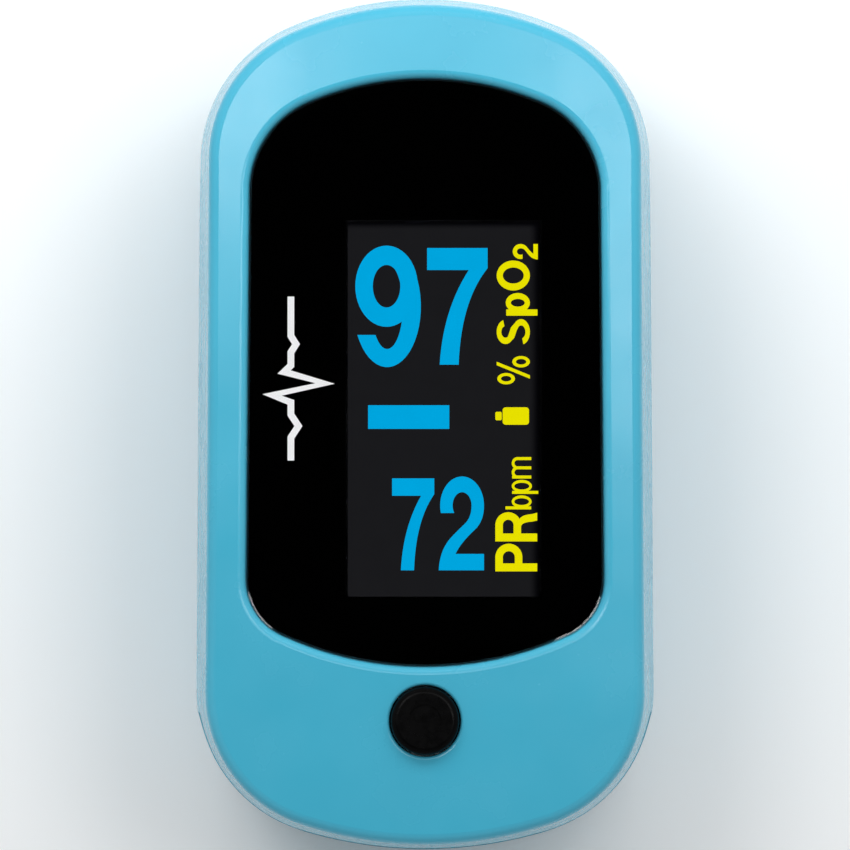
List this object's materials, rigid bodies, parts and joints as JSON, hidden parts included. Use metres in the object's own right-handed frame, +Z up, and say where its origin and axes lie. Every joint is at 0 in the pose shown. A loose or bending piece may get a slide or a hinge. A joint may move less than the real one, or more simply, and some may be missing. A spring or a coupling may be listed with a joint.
{
  "type": "fingertip pulse oximeter",
  "caption": "Clip-on fingertip pulse oximeter: hinged sprung halves with finger pads, a dark display window and a push button on top, and a sliding battery cover below.",
  "frame": {"origin": "centre of the footprint, on the resting face of the battery cover", "axes": "+Z up out of the display, +Y from the finger's entry to the hinge end, +X across, to the right when the entry faces the viewer"},
  "size_m": [0.031, 0.0575, 0.032],
  "materials": {
    "shell_blue": "glossy moulded sky-blue plastic",
    "lens": "clear acrylic with a polished bevel",
    "ink_black": "black back-printed ink",
    "adhesive": "thin black foam tape",
    "button_black": "satin black moulded plastic",
    "display_glass": "display glass sandwich",
    "holder_black": "black moulded plastic",
    "foam": "closed-cell foam",
    "polyimide": "amber polyimide film",
    "board_green": "green solder mask",
    "chip_black": "moulded epoxy",
    "passives": "ceramic chip bodies",
    "connector_white": "ivory moulded plastic",
    "switch_metal": "thin stamped steel",
    "frame_white": "white moulded plastic, fine texture",
    "silicone": "soft dark grey silicone",
    "led_clear": "clear epoxy package",
    "optic_window": "clear polished plastic",
    "diode_black": "dark filtering epoxy",
    "steel": "zinc-plated steel",
    "spring_steel": "drawn spring wire",
    "nickel": "nickel-plated contact strip",
    "cell_sleeve": "printed plastic sleeve",
    "lead_sleeve": "soft insulated wire"
  },
  "bodies": {
    "lower_half": {"lower_housing": "shell_blue", "lower_frame": "frame_white", "lower_finger_pad": "silicone", "sensor_board": "board_green", "photodiode": "diode_black", "sensor_window": "optic_window", "lower_screws": "steel", "hinge_pin": "steel", "torsion_spring_left": "spring_steel", "torsion_spring_right": "spring_steel", "flex_cable": "polyimide", "battery_leads": "lead_sleeve", "battery_cell_left": "cell_sleeve", "battery_cell_right": "cell_sleeve", "bridge_contact": "nickel", "positive_contact": "nickel", "negative_contact": "nickel", "bridge_coil": "spring_steel", "negative_coil": "spring_steel"},
    "upper_half": {"upper_cover": "shell_blue", "display_window": "lens", "window_mask": "ink_black", "window_adhesive": "adhesive", "display_panel": "display_glass", "display_holder": "holder_black", "display_gasket": "foam", "display_flex": "polyimide", "main_board": "board_green", "switch_body": "switch_metal", "microcontroller": "chip_black", "analog_front_end": "chip_black", "board_passives": "passives", "flex_connector": "connector_white", "upper_frame": "frame_white", "upper_finger_pad": "silicone", "emitter_board": "board_green", "emitter_led": "led_clear", "emitter_window": "optic_window", "upper_screws": "steel"},
    "button": {"power_button": "button_black", "switch_plunger": "button_black"},
    "battery_door": {"battery_cover": "shell_blue"}
  },
  "joints": [
    {"name": "clamp_hinge", "type": "hinge", "parent": "lower_half", "child": "upper_half", "pos_m": [0, 0.013, 0.017], "axis": [-1, 0, 0], "range_deg": [0, 21.5], "stiffness_Nm_per_rad": 0.12, "springref_deg": -20.05, "deforming": ["torsion_spring_left", "torsion_spring_right", "flex_cable"]},
    {"name": "button_press", "type": "slide", "parent": "upper_half", "child": "button", "axis": [0, 0, -1], "range_m": [0, 0.0004], "stiffness_N_per_m": 4000, "springref_m": -0.0001},
    {"name": "battery_cover_slide", "type": "slide", "parent": "lower_half", "child": "battery_door", "axis": [0, -1, 0], "range_m": [0, 0.06]}
  ]
}
